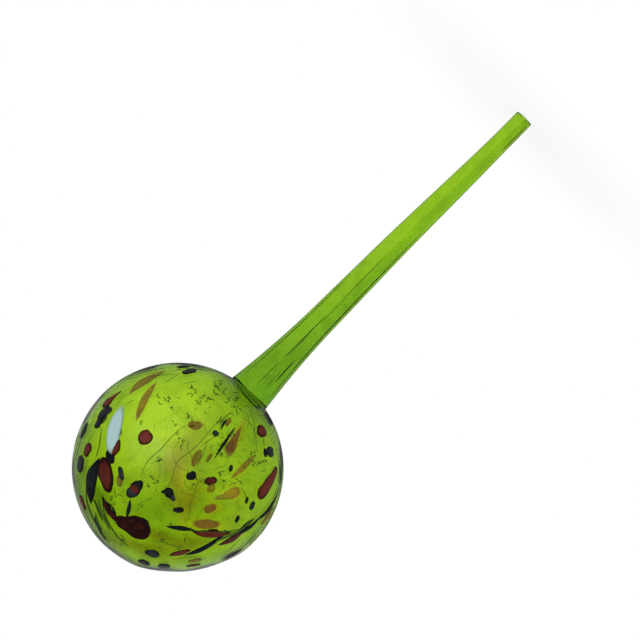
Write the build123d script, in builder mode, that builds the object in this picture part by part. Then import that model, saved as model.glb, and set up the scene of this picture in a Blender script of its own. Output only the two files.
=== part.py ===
from build123d import *
from math import cos, radians, sin, sqrt
import os

# Watering globe of blown glass, in millimetres. Z is its axis: the open end of the stem is at Z = 0,
# and the bulb is on top, as it stands in a pot with the stem pushed into the soil.

# Bulb: a blown shell with one hole, where the stem joins it.
BULB_DIAMETER = 89.0
BULB_WALL = 1.8

# Stem: a drawn tube, straight at its open end, then a slow taper, then a flare to its foot on the bulb.
STEM_LENGTH = 164.6
TIP_DIAMETER = 8.1
TIP_BORE = 6.0
TIP_STRAIGHT = 12.0
TIP_ROUNDING = 0.25
FLARE_LENGTH = 45.5
FLARE_DIAMETER = 12.4
FLARE_BORE = 9.8
FOOT_DIAMETER = 19.4
NECK_BORE = 15.0

# Chips of coloured glass, melted on to the outside of the bulb, stand this proud of it.
CHIP_RISE = 0.4

# The show side faces -Y and leans a little to the crown. Seen from there, with the stem rising to the
# right at this angle, each chip's place is given across and up from the middle of the bulb, as shares of
# its radius. Then come the chip's length and width, and the turn of its length from the level, in degrees.
SHOW_ANGLE = 45.3
SHOW_LEAN = 4.85
FRONT = 1
BACK = -1

# Round and oval chips: across, up, length, width, turn, side.
PALE_OVALS = [
    (-0.590, 0.367, 24.5, 8.2, 78, FRONT),
]
BLACK_OVALS = [
    (-0.354, -0.142, 5.0, 4.6, 40, FRONT),
    (-0.440, -0.236, 5.6, 5.2, 45, FRONT),
    (-0.630, 0.112, 7.0, 4.4, 112, FRONT),
    (-0.528, -0.046, 6.4, 2.6, 104, FRONT),
    (-0.695, 0.519, 8.0, 6.6, 50, FRONT),
    (-0.746, 0.423, 5.0, 5.0, 60, FRONT),
    (-0.640, 0.536, 3.6, 2.4, 50, FRONT),
    (-0.884, 0.358, 7.8, 5.8, 67, FRONT),
    (-0.917, 0.042, 7.6, 8.0, 87, FRONT),
    (0.109, 0.913, 8.2, 4.5, 18, FRONT),
    (0.050, 0.958, 6.0, 3.6, 3, FRONT),
    (0.353, 0.327, 3.0, 2.9, 0, FRONT),
    (0.126, -0.066, 4.7, 3.7, 35, FRONT),
    (0.006, -0.386, 4.8, 2.7, 0, FRONT),
    (0.869, 0.157, 4.8, 6.6, 98, FRONT),
    (0.820, 0.148, 4.0, 2.6, 98, FRONT),
    (0.866, 0.472, 6.4, 6.0, 119, FRONT),
    (0.495, 0.002, 3.2, 1.9, 75, FRONT),
    (-0.084, -0.224, 4.8, 3.8, 120, FRONT),
    (-0.046, -0.274, 3.2, 2.2, 115, FRONT),
    (-0.126, -0.214, 2.6, 1.7, 10, FRONT),
    (0.645, -0.297, 3.2, 1.9, 75, FRONT),
    (0.698, -0.350, 4.2, 2.8, 62, FRONT),
    (0.556, -0.473, 3.6, 2.2, 70, FRONT),
    (-0.240, -0.796, 6.6, 5.8, -10, FRONT),
    (-0.318, -0.884, 5.6, 6.4, -18, FRONT),
    (-0.127, -0.922, 5.6, 6.4, -14, FRONT),
    (-0.600, 0.340, 6.0, 4.4, 60, BACK),
    (-0.700, -0.160, 7.0, 4.6, 80, BACK),
    (-0.255, -0.847, 5.0, 3.8, -15, BACK),
    (0.440, -0.655, 5.6, 2.6, 24, BACK),
    (0.917, 0.166, 4.4, 3.4, 60, BACK),
    (-0.480, -0.560, 4.2, 3.4, 0, BACK),
    (0.115, 0.965, 4.6, 4.0, 15, BACK),
    (-0.690, 0.560, 5.0, 3.2, 50, BACK),
]
RED_OVALS = [
    (-0.301, 0.290, 6.8, 6.7, 0, FRONT),
    (-0.578, 0.192, 8.0, 4.2, 68, FRONT),
    (-0.677, -0.060, 15.8, 8.6, 101, FRONT),
    (-0.845, 0.175, 6.4, 5.8, 68, FRONT),
    (0.788, 0.352, 5.6, 8.2, 114, FRONT),
    (0.308, -0.114, 5.8, 3.6, 5, FRONT),
    (-0.400, -0.190, 5.2, 5.9, 45, FRONT),
    (0.023, -0.789, 9.8, 3.0, 15, FRONT),
    (0.150, -0.923, 6.6, 4.4, 9, FRONT),
    (-0.897, -0.320, 7.0, 6.0, 110, FRONT),
    (-0.672, 0.118, 5.0, 3.6, 110, BACK),
    (0.330, -0.640, 6.0, 3.0, 10, BACK),
    (0.738, -0.371, 4.2, 2.6, 62, BACK),
    (-0.340, -0.540, 5.4, 4.2, 160, BACK),
    (-0.740, 0.480, 5.6, 4.2, 50, BACK),
]
AMBER_OVALS = [
    (-0.540, -0.110, 6.4, 3.4, 86, FRONT),
    (0.162, 0.405, 7.2, 4.6, 0, FRONT),
    (0.165, -0.865, 7.0, 4.0, 8, FRONT),
    (0.472, 0.435, 6.0, 2.4, 60, FRONT),
    (0.271, -0.521, 13.2, 5.4, -3, FRONT),
    (0.302, -0.372, 6.4, 4.6, 15, FRONT),
    (0.182, 0.110, 9.6, 3.8, 75, BACK),
    (0.296, 0.108, 6.2, 2.0, 62, BACK),
    (0.318, -0.196, 5.0, 4.0, 70, BACK),
    (0.540, 0.230, 6.0, 3.4, 63, BACK),
]

# Drops, with a round head and a narrow tail end: across, up, length, width, tail width, turn, side.
RED_DROPS = [
    (-0.425, -0.538, 16.2, 11.0, 6.0, 164, FRONT),
    (-0.622, 0.655, 10.8, 5.8, 1.2, 40, FRONT),
    (0.858, -0.132, 19.0, 7.4, 4.0, 56, FRONT),
    (-0.088, -0.246, 4.8, 3.0, 1.4, 120, BACK),
]
AMBER_DROPS = [
    (0.470, -0.245, 13.4, 5.6, 2.4, 197, FRONT),
    (0.533, 0.268, 17.5, 5.2, 1.0, 63, FRONT),
]

# Trails drawn out by the blowing: across, up, length, width, bow of the middle, turn, side.
BLACK_TRAILS = [
    (-0.802, -0.122, 22.0, 6.6, 1.2, 79, FRONT),
    (0.450, 0.243, 19.5, 1.3, 0.5, 56, FRONT),
    (0.432, 0.410, 6.8, 1.2, 0.4, 61, FRONT),
    (0.640, -0.548, 19.0, 2.8, -1.6, 32, FRONT),
    (0.862, -0.335, 21.0, 3.2, -2.6, 54, FRONT),
    (0.251, -0.728, 20.0, 3.4, -0.8, 28, FRONT),
    (0.024, -0.564, 13.2, 2.3, 0.4, -8, FRONT),
    (0.522, -0.811, 12.0, 4.4, -1.0, 34, FRONT),
    (-0.465, -0.378, 9.8, 1.9, -0.4, 79, FRONT),
    (-0.730, -0.560, 15.0, 4.0, 1.0, 111, FRONT),
    (-0.800, -0.420, 14.0, 2.4, 2.2, 110, BACK),
    (0.105, -0.925, 13.0, 2.2, -2.0, 8, BACK),
    (0.684, -0.585, 13.0, 1.8, -1.6, 34, BACK),
]
RED_TRAILS = [
    (0.325, -0.605, 19.0, 4.0, -0.5, -2, FRONT),
    (0.515, -0.645, 14.5, 3.8, -0.8, 31, FRONT),
    (-0.612, -0.400, 17.0, 3.6, 1.6, 125, FRONT),
    (-0.660, -0.430, 11.0, 1.8, 1.6, 125, BACK),
]
AMBER_TRAILS = [
    (-0.300, 0.645, 24.0, 4.2, 0.4, 63, FRONT),
    (-0.292, 0.820, 22.0, 6.0, 1.2, 33, FRONT),
    (0.622, 0.016, 19.0, 3.0, 0.3, 44, FRONT),
    (0.844, -0.439, 12.0, 5.0, -1.5, 54, FRONT),
    (-0.730, 0.550, 8.0, 2.2, 0.6, 50, BACK),
]

bulb_radius = BULB_DIAMETER / 2
bulb_centre = Vector(0, 0, STEM_LENGTH + bulb_radius)
flare_start = STEM_LENGTH - FLARE_LENGTH
os.makedirs("parts", exist_ok=True)


def height_on_bulb(radius):
    """Height of the underside of the bulb at a distance from the axis."""
    return bulb_centre.Z - sqrt(bulb_radius**2 - radius**2)


# Bulb: two concentric spheres, with the neck hole that the stem's bore opens into.
with BuildPart() as bulb:
    with Locations(bulb_centre):
        Sphere(bulb_radius)
        Sphere(bulb_radius - BULB_WALL, mode=Mode.SUBTRACT)
    with BuildSketch(Plane.XY.offset(STEM_LENGTH)):
        Circle(NECK_BORE / 2)
    extrude(amount=bulb_radius, mode=Mode.SUBTRACT)
bulb.part.label = "bulb"
export_step(bulb.part, "parts/bulb.step")


# Stem: one revolved profile. Its foot is a round of the bulb's own radius, fused to it face to face.
with BuildPart() as stem:
    with BuildSketch(Plane.XZ):
        with BuildLine():
            tip = Polyline((TIP_BORE / 2, 0), (TIP_DIAMETER / 2, 0), (TIP_DIAMETER / 2, TIP_STRAIGHT))
            taper = Line(tip @ 1, (FLARE_DIAMETER / 2, flare_start))
            foot_edge = (FOOT_DIAMETER / 2, height_on_bulb(FOOT_DIAMETER / 2))
            TangentArc(taper @ 1, foot_edge, tangent=taper % 1)
            neck_edge = (NECK_BORE / 2, height_on_bulb(NECK_BORE / 2))
            RadiusArc(foot_edge, neck_edge, bulb_radius)
            bore_taper = Line((TIP_BORE / 2, TIP_STRAIGHT), (FLARE_BORE / 2, flare_start))
            TangentArc(bore_taper @ 1, neck_edge, tangent=bore_taper % 1)
            Line(bore_taper @ 0, tip @ 0)
        make_face()
    revolve(axis=Axis.Z)
    tip_wall = (TIP_DIAMETER - TIP_BORE) / 2
    fillet(stem.faces().sort_by(Axis.Z)[0].edges(), radius=min(TIP_ROUNDING, tip_wall / 3))
stem.part.label = "stem"
export_step(stem.part, "parts/stem.step")


# The layer just outside the bulb that every chip fills, up to its rise.
with BuildPart() as chip_layer:
    with Locations(bulb_centre):
        Sphere(bulb_radius + CHIP_RISE)
        Sphere(bulb_radius, mode=Mode.SUBTRACT)

lean = radians(SHOW_LEAN)
crown_way = Vector(0, sin(lean), cos(lean))
show_face = Plane(
    bulb_centre,
    x_dir=Vector(-sin(radians(SHOW_ANGLE)), 0, 0) - crown_way * cos(radians(SHOW_ANGLE)),
    z_dir=(0, -cos(lean), sin(lean)),
)


def chip_seat(across, up, turn, side):
    """Plane that touches the bulb under a chip, with Z away from the bulb and X along the chip, so that
    its length lies at the turn as the show side sees it."""
    toward = side * sqrt(1 - across**2 - up**2)
    level = cos(radians(turn))
    steep = sin(radians(turn))
    slant = -(across * level + up * steep) / toward
    outward = show_face.x_dir * across + show_face.y_dir * up + show_face.z_dir * toward
    along = show_face.x_dir * level + show_face.y_dir * steep + show_face.z_dir * slant
    return Plane(bulb_centre + outward * bulb_radius, x_dir=along, z_dir=outward)


class Drop(BaseSketchObject):
    """A round head at the left and a small round tail end at the right, with straight sides between."""

    def __init__(self, length, width, tail, mode=Mode.ADD):
        with BuildSketch() as outline:
            with Locations((-(length - width) / 2, 0)):
                Circle(width / 2)
            with Locations(((length - tail) / 2, 0)):
                Circle(tail / 2)
            make_hull()
        super().__init__(outline.face(), mode=mode)


class Trail(BaseSketchObject):
    """A bowed sliver: two arcs that meet in a point at both ends."""

    def __init__(self, length, width, bow, mode=Mode.ADD):
        left = (-length / 2, 0)
        right = (length / 2, 0)
        with BuildSketch() as outline:
            with BuildLine():
                ThreePointArc(left, (0, bow + width / 2), right)
                ThreePointArc(right, (0, bow - width / 2), left)
            make_face()
        super().__init__(outline.face(), mode=mode)


def seat_chips():
    """Raises the outlines that were sketched and keeps what lies in the chips' layer."""
    extrude(amount=bulb_radius / 2, both=True)
    add(chip_layer.part, mode=Mode.INTERSECT)


# The pale chip lies whole. A chip of another colour that meets one already laid ends at its edge.
with BuildPart() as pale_chips:
    for across, up, length, width, turn, side in PALE_OVALS:
        with BuildSketch(chip_seat(across, up, turn, side)):
            Ellipse(length / 2, width / 2)
    seat_chips()
pale_chips.part.label = "pale_chips"
export_step(pale_chips.part, "parts/pale_chips.step")

with BuildPart() as black_chips:
    for across, up, length, width, turn, side in BLACK_OVALS:
        with BuildSketch(chip_seat(across, up, turn, side)):
            Ellipse(length / 2, width / 2)
    seat_chips()
    add(pale_chips.part, mode=Mode.SUBTRACT)
black_chips.part.label = "black_chips"
export_step(black_chips.part, "parts/black_chips.step")

with BuildPart() as black_trails:
    for across, up, length, width, bow, turn, side in BLACK_TRAILS:
        with BuildSketch(chip_seat(across, up, turn, side)):
            Trail(length, width, bow)
    seat_chips()
    add([pale_chips.part, black_chips.part], mode=Mode.SUBTRACT)
black_trails.part.label = "black_trails"
export_step(black_trails.part, "parts/black_trails.step")

with BuildPart() as red_chips:
    for across, up, length, width, turn, side in RED_OVALS:
        with BuildSketch(chip_seat(across, up, turn, side)):
            Ellipse(length / 2, width / 2)
    for across, up, length, width, tail, turn, side in RED_DROPS:
        with BuildSketch(chip_seat(across, up, turn, side)):
            Drop(length, width, tail)
    seat_chips()
    add([pale_chips.part, black_chips.part, black_trails.part], mode=Mode.SUBTRACT)
red_chips.part.label = "red_chips"
export_step(red_chips.part, "parts/red_chips.step")

with BuildPart() as red_trails:
    for across, up, length, width, bow, turn, side in RED_TRAILS:
        with BuildSketch(chip_seat(across, up, turn, side)):
            Trail(length, width, bow)
    seat_chips()
    add([pale_chips.part, black_chips.part, black_trails.part, red_chips.part], mode=Mode.SUBTRACT)
red_trails.part.label = "red_trails"
export_step(red_trails.part, "parts/red_trails.step")

with BuildPart() as amber_chips:
    for across, up, length, width, turn, side in AMBER_OVALS:
        with BuildSketch(chip_seat(across, up, turn, side)):
            Ellipse(length / 2, width / 2)
    for across, up, length, width, tail, turn, side in AMBER_DROPS:
        with BuildSketch(chip_seat(across, up, turn, side)):
            Drop(length, width, tail)
    seat_chips()
    add([pale_chips.part, black_chips.part, black_trails.part], mode=Mode.SUBTRACT)
    add([red_chips.part, red_trails.part], mode=Mode.SUBTRACT)
amber_chips.part.label = "amber_chips"
export_step(amber_chips.part, "parts/amber_chips.step")

with BuildPart() as amber_trails:
    for across, up, length, width, bow, turn, side in AMBER_TRAILS:
        with BuildSketch(chip_seat(across, up, turn, side)):
            Trail(length, width, bow)
    seat_chips()
    add([pale_chips.part, black_chips.part, black_trails.part], mode=Mode.SUBTRACT)
    add([red_chips.part, red_trails.part, amber_chips.part], mode=Mode.SUBTRACT)
amber_trails.part.label = "amber_trails"
export_step(amber_trails.part, "parts/amber_trails.step")
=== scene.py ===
from math import cos, pi, radians, sin

import bpy
import numpy as np
from mathutils import Matrix, Vector


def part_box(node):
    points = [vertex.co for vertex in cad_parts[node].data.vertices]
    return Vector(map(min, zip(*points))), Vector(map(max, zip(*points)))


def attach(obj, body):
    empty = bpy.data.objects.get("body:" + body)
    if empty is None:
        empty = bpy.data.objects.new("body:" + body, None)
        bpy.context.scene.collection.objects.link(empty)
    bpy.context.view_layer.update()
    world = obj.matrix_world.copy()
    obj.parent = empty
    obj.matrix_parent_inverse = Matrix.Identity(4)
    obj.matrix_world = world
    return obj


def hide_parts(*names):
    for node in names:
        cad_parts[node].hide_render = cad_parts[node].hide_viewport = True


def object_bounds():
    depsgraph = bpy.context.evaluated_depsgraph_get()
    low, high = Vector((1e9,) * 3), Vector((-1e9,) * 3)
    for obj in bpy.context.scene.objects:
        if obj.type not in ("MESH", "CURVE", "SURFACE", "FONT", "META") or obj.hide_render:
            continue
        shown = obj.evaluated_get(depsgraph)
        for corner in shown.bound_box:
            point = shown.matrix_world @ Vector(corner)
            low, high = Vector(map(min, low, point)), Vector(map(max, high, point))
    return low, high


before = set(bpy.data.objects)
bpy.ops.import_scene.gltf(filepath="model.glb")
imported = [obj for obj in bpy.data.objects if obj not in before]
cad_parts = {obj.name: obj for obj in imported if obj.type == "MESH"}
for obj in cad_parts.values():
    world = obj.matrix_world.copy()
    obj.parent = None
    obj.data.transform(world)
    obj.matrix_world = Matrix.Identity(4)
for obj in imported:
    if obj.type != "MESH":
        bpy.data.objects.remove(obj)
cad_low, cad_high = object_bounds()


# Bulb: a bubble of glass with a skin of yellow-green, blown by hand, so it is a little flat on one side
# and its wall ripples. Stains of amber and fine cords run through the skin. A painted glow lightens the skin
# high on the show side, and painted shade darkens it elsewhere and over the lower half. The stem is fused on
# over its one hole, where the glass gathers to a darker collar.
bulb_low, bulb_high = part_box("bulb")
BULB_RADIUS = (bulb_high.x - bulb_low.x) / 2
BULB_CENTRE = np.array((0.0, 0.0, bulb_high.z - BULB_RADIUS))
NECK_RADIUS = 0.0075
BULB_WALL = 0.0018
WALL_RIPPLE = 0.00014
SLOW_WAVES = 5.0
QUICK_WAVES = 13.0
QUICK_SHARE = 0.6
BULB_RINGS = 150
BULB_STEPS = 260
SKIN_KEPT = (0.62, 0.87, 0.42)
# Painted glow and shade: the skin keeps its full green round one place high on the show side and darkens to
# SHADE_KEPT away from it.
SHADE_KEPT = (0.62, 0.69, 0.21)
PAINTED_GLOW_PLACE = (-0.12, 0.36)
PAINTED_GLOW_REACH = 0.55
LINING_KEPT = (0.95, 0.98, 0.08)
COLLAR_KEPT = (0.26, 0.30, 1.10)
COLLAR_INNER = 0.30
COLLAR_OUTER = 0.56
JOINT_KEPT = (0.50, 0.62, 0.20)
JOINT_INNER = 0.26
JOINT_OUTER = 0.36
FUSED_KEPT = (0.72, 0.86, 0.50)
FUSED_INNER = 0.205
FUSED_OUTER = 0.225
BODY_KEPT = (0.40, 0.60, 0.10)
BODY_DENSITY = 150.0
CORD_KEPT = (0.24, 0.22, 0.18)
CORD_PLACE = (0.22, 0.02)
CORD_REACH = 0.62
CORD_FADE = 0.2
CORD_FOLDS = 7.0

# The show side faces -Y and leans a little to the crown. Seen from there the stem rises to the right.
STEM_RISE = radians(45.3)
SHOW_LEAN = radians(4.85)


def show_axes(lean):
    """Right, up and toward the eye, for an eye that looks along +Y, is raised towards the crown by the
    lean and sees the stem rise to the right."""
    toward = np.array((0.0, -cos(lean), sin(lean)))
    crown_way = np.array((0.0, sin(lean), cos(lean)))
    side_way = np.array((1.0, 0.0, 0.0))
    right = -sin(STEM_RISE) * side_way - cos(STEM_RISE) * crown_way
    up = cos(STEM_RISE) * side_way - sin(STEM_RISE) * crown_way
    return right, up, toward


SHOW_RIGHT, SHOW_UP, SHOW_TOWARD = show_axes(SHOW_LEAN)
FLAT_WAY = 0.14 * SHOW_RIGHT - 0.99 * SHOW_UP
FLAT_DEPTH = 0.0011
FLAT_EDGE = 0.85
RIPPLE_AXES = np.array(((1.0, 0.3, -0.5), (-0.4, 1.0, 0.6), (0.5, -0.7, 1.0)))
RIPPLE_TURNS = np.array((1.0, 2.3, 3.7))


def smooth_step(low, high, value):
    """0 below low, 1 above high, and 3t^2 - 2t^3 between them."""
    t = np.clip((value - low) / (high - low), 0.0, 1.0)
    return t * t * (3.0 - 2.0 * t)


def ring_faces(count, steps, loop):
    """Corner numbers of the quads between neighbouring rings of a grid."""
    here = np.arange(count if loop else count - 1)[:, None] * steps + np.arange(steps)
    beside = here - here % steps + (here + 1) % steps
    whole = count * steps
    return np.stack((here, beside, (beside + steps) % whole, (here + steps) % whole), axis=-1).reshape(-1, 4)


def pole_faces(pole, ring_start, steps):
    """Corner numbers of the fan from one ring to its pole."""
    here = np.arange(steps)
    beside = (here + 1) % steps
    return np.stack((np.full(steps, pole), ring_start + here, ring_start + beside), axis=-1)


def blown_shape(points):
    """Presses points of the bulb, and of what lies on it, in towards its middle on its flat side."""
    away = points - BULB_CENTRE
    away = away / np.linalg.norm(away, axis=1)[:, None]
    return points - FLAT_DEPTH * smooth_step(FLAT_EDGE, 1.0, away @ FLAT_WAY)[:, None] * away


def joined_mesh(name, grids, attributes=()):
    """One mesh from closed grids. Each grid is its rings and its two poles: quads join each ring to the
    next and fans run to the poles or, where the poles are None, the last ring joins the first. Faces are
    turned outwards by the sign of the volume, and an attribute is a number or a colour for each point."""
    points, faces = [], []
    start = 0
    for rings, poles in grids:
        count, steps = rings.shape[:2]
        points.append(rings.reshape(-1, 3))
        corners = (ring_faces(count, steps, poles is None) + start).tolist()
        whole = count * steps
        if poles is not None:
            points.append(poles)
            corners += pole_faces(start + whole, start, steps)[:, ::-1].tolist()
            corners += pole_faces(start + whole + 1, start + whole - steps, steps).tolist()
        faces += corners
        start += whole + (0 if poles is None else 2)
    points = blown_shape(np.vstack(points))
    mesh = bpy.data.meshes.new(name)
    mesh.from_pydata(points.tolist(), [], faces)
    mesh.calc_loop_triangles()
    triangles = np.empty(len(mesh.loop_triangles) * 3, int)
    mesh.loop_triangles.foreach_get("vertices", triangles)
    corner = (points - points.mean(axis=0))[triangles.reshape(-1, 3)]
    if np.einsum("ij,ij->", corner[:, 0], np.cross(corner[:, 1], corner[:, 2])) < 0:
        mesh.flip_normals()
    mesh.polygons.foreach_set("use_smooth", np.ones(len(mesh.polygons), bool))
    for attribute, values in attributes:
        if values.ndim == 1:
            mesh.attributes.new(attribute, "FLOAT", "POINT").data.foreach_set("value", values)
        else:
            opaque = np.column_stack((values, np.ones(len(values))))
            mesh.attributes.new(attribute, "FLOAT_COLOR", "POINT").data.foreach_set("color", opaque.ravel())
    mesh.update()
    return mesh


def place_piece(mesh, material, slot, *nodes):
    """Links a finished mesh as a piece that rides on the globe and stands for its CAD nodes."""
    piece = bpy.data.objects.new(mesh.name, mesh)
    bpy.context.scene.collection.objects.link(piece)
    mesh.materials.append(material)
    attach(piece, "root")
    if nodes:
        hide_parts(*nodes)


def ripple(direction, count, turn):
    """Slow waves over a sphere: the mean of sines of the direction along three skew axes."""
    return np.sin(count * direction @ RIPPLE_AXES.T + turn * RIPPLE_TURNS).mean(axis=-1)


def bulb_wall(direction):
    """Thickness of the wall, with the slow and the quicker ripple of hand-blown glass."""
    slow = ripple(direction, SLOW_WAVES, 1.0)
    quick = ripple(direction, QUICK_WAVES, 2.0)
    return BULB_WALL + WALL_RIPPLE * (slow + QUICK_SHARE * quick)


# Stains in the skin, and two patches of painted shade: across and up on the show side as shares of the
# radius, half length, half width, turn of the length in degrees, and the red, green and blue that are left
# of the green skin's. An amber one lets more red through than the green does.
STAINS_AND_SHADE = [
    # The first row is painted shade: it darkens the lower part of the show side.
    (-0.16, -0.36, 0.55, 0.36, 10, (0.38, 0.48, 0.40)),
    (0.60, 0.50, 0.40, 0.30, 45, (0.70, 0.78, 0.55)),
    (0.03, 0.16, 0.44, 0.15, 48, (0.68, 0.52, 1.50)),
    (0.22, 0.31, 0.11, 0.08, 48, (0.70, 0.64, 0.55)),
    (0.29, 0.11, 0.17, 0.09, 50, (0.58, 0.66, 0.60)),
    (0.01, -0.11, 0.30, 0.11, 92, (1.02, 0.44, 1.10)),
    (0.19, -0.19, 0.12, 0.09, 80, (1.00, 0.66, 0.60)),
    (0.10, -0.34, 0.20, 0.07, 75, (0.92, 0.44, 0.60)),
    (-0.17, -0.62, 0.17, 0.06, -20, (0.48, 0.22, 0.20)),
    (0.27, -0.52, 0.14, 0.05, -3, (2.00, 0.75, 0.80)),
    (0.33, -0.37, 0.07, 0.05, 15, (2.20, 0.70, 0.80)),
    (0.52, -0.22, 0.09, 0.06, 0, (2.20, 1.00, 1.00)),
    (0.57, 0.33, 0.13, 0.04, 63, (1.30, 0.45, 0.50)),
    (0.60, -0.01, 0.12, 0.035, 44, (1.30, 0.80, 1.00)),
    (-0.34, -0.73, 0.34, 0.07, -18, (0.62, 0.36, 0.40)),
    (0.10, -0.70, 0.34, 0.08, 10, (0.58, 0.36, 0.40)),
    (0.54, -0.44, 0.17, 0.09, 35, (0.64, 0.60, 0.70)),
    (0.71, 0.08, 0.30, 0.14, 85, (0.64, 0.66, 0.62)),
    (-0.86, -0.10, 0.40, 0.10, 85, (0.60, 0.62, 0.60)),
    (-0.93, -0.06, 0.26, 0.05, 88, (0.40, 0.44, 0.36)),
    (-0.73, -0.27, 0.20, 0.09, 112, (0.20, 0.28, 0.30)),
    (-0.66, -0.62, 0.28, 0.07, 125, (0.62, 0.58, 0.50)),
    (-0.83, 0.36, 0.17, 0.03, 66, (0.35, 0.50, 0.50)),
    # The next row is a painted shadow: a dark band along the top end of the pale spindle.
    (-0.54, 0.64, 0.12, 0.03, 55, (0.40, 0.50, 0.50)),
]
STAIN_AND_SHADE_FADE = 0.15
STAIN_AND_SHADE_RIPPLE = 0.5
STAIN_AND_SHADE_WAVES = 17.0


def stained_and_shaded(tint, depth, kept):
    """A tint with a stain or painted shade in it: at full depth, only the kept share of each colour is left.
    """
    return tint * (1.0 - depth[..., None] * (1.0 - np.array(kept)))


def near_neck(direction, inner, outer):
    """1 round the neck hole, falling to 0 between two distances from its axis, as shares of the radius."""
    from_axis = np.hypot(direction[..., 0], direction[..., 1])
    return smooth_step(-outer, -inner, -from_axis) * (direction[..., 2] < 0)


def bulb_tint(direction):
    """Colour that the skin lets through: its green, lighter round a painted glow high on the show side and
    darker away from it as painted shade, darker at the collar round the neck, darkest at the joint and clear
    where the stem is fused on, times each stain and each patch of painted shade. Each fades as a bell curve
    or a smooth step."""
    across = direction @ SHOW_RIGHT
    up = direction @ SHOW_UP
    shown = smooth_step(0.0, STAIN_AND_SHADE_FADE, direction @ SHOW_TOWARD)
    # Painted glow round one place high on the show side, and painted shade away from it.
    away = ((across - PAINTED_GLOW_PLACE[0]) ** 2 + (up - PAINTED_GLOW_PLACE[1]) ** 2) / PAINTED_GLOW_REACH**2
    tint = np.array(SKIN_KEPT) * np.array(SHADE_KEPT) ** (1.0 - np.exp(-away))[..., None]
    tint = stained_and_shaded(tint, near_neck(direction, COLLAR_INNER, COLLAR_OUTER), COLLAR_KEPT)
    tint = stained_and_shaded(tint, near_neck(direction, JOINT_INNER, JOINT_OUTER), JOINT_KEPT)
    fused = near_neck(direction, FUSED_INNER, FUSED_OUTER)[..., None]
    tint = tint * (1.0 - fused) + np.array(FUSED_KEPT) * fused
    for middle, height, half_length, half_width, turn, kept in STAINS_AND_SHADE:
        along = (across - middle) * cos(radians(turn)) + (up - height) * sin(radians(turn))
        beside = (up - height) * cos(radians(turn)) - (across - middle) * sin(radians(turn))
        wave = 1.0 + STAIN_AND_SHADE_RIPPLE * ripple(direction, STAIN_AND_SHADE_WAVES, height)
        depth = shown * np.exp(-((along / half_length) ** 2) - (beside / (half_width * wave)) ** 2)
        tint = stained_and_shaded(tint, depth, kept)
    return np.minimum(tint, 1.0)


def bulb_mesh():
    """Rings from the crown down the outside to the neck hole, and up the inside to the crown again.
    A point is (sin a cos b, sin a sin b, cos a) times the radius, less the wall on the inside."""
    edge = pi - np.arcsin(NECK_RADIUS / BULB_RADIUS)
    angle = np.linspace(0.0, edge, BULB_RINGS + 1)[1:, None]
    around = np.linspace(0.0, 2 * pi, BULB_STEPS, endpoint=False)[None, :]
    level = np.cos(angle) + 0.0 * around
    direction = np.stack((np.sin(angle) * np.cos(around), np.sin(angle) * np.sin(around), level), axis=-1)
    outside = BULB_RADIUS * direction
    inside = (BULB_RADIUS - bulb_wall(direction))[..., None] * direction
    crown = np.array((0.0, 0.0, 1.0))
    poles = np.stack((crown * BULB_RADIUS, crown * (BULB_RADIUS - bulb_wall(crown))))
    rings = np.concatenate((outside, inside[::-1]))
    skin = bulb_tint(direction).reshape(-1, 3)
    lining = np.array(LINING_KEPT) + np.zeros_like(skin)
    tint = np.vstack((skin, lining, bulb_tint(crown), LINING_KEPT))
    away = (direction @ SHOW_RIGHT - CORD_PLACE[0]) ** 2 + (direction @ SHOW_UP - CORD_PLACE[1]) ** 2
    corded = np.exp(-away / CORD_REACH**2) * smooth_step(0.0, CORD_FADE, direction @ SHOW_TOWARD)
    veined = np.concatenate((corded.ravel(), np.zeros(corded.size + 2)))
    globe = [(rings + BULB_CENTRE, poles + BULB_CENTRE)]
    return joined_mesh("bulb_glass", globe, [("tint", tint), ("veined", veined)])


def math_node(tree, operation, value=0.5):
    """A Math node for one operation, with its second value where that is fixed."""
    node = tree.nodes.new("ShaderNodeMath")
    node.operation = operation
    node.inputs[1].default_value = value
    return node


def range_node(tree, low, high, to_low=0.0, to_high=1.0):
    """A Map Range node, which takes the values from low to high evenly to another span."""
    node = tree.nodes.new("ShaderNodeMapRange")
    for name, value in (("From Min", low), ("From Max", high), ("To Min", to_low), ("To Max", to_high)):
        node.inputs[name].default_value = value
    return node


def attribute_node(tree, name):
    """A node that reads one attribute of the mesh."""
    node = tree.nodes.new("ShaderNodeAttribute")
    node.attribute_name = name
    return node


def noise_node(tree, place, scale, detail, distortion=0.0):
    """A noise texture on the piece's own coordinates, in metres."""
    node = tree.nodes.new("ShaderNodeTexNoise")
    for name, value in (("Scale", scale), ("Detail", detail), ("Distortion", distortion)):
        node.inputs[name].default_value = value
    tree.links.new(place.outputs["Object"], node.inputs["Vector"])
    return node


def colour_mix(tree, blend):
    """The factor, the two colours and the result of a Mix node for colours."""
    node = tree.nodes.new("ShaderNodeMix")
    node.data_type = "RGBA"
    node.blend_type = blend
    first, second = [socket for socket in node.inputs if socket.type == "RGBA"]
    result = [socket for socket in node.outputs if socket.type == "RGBA"][0]
    return node.inputs["Factor"], first, second, result


def chain(tree, *steps):
    """Links the first output of each node to the first input of the next."""
    for step, following in zip(steps, steps[1:]):
        tree.links.new(step.outputs[0], following.inputs[0])


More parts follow.
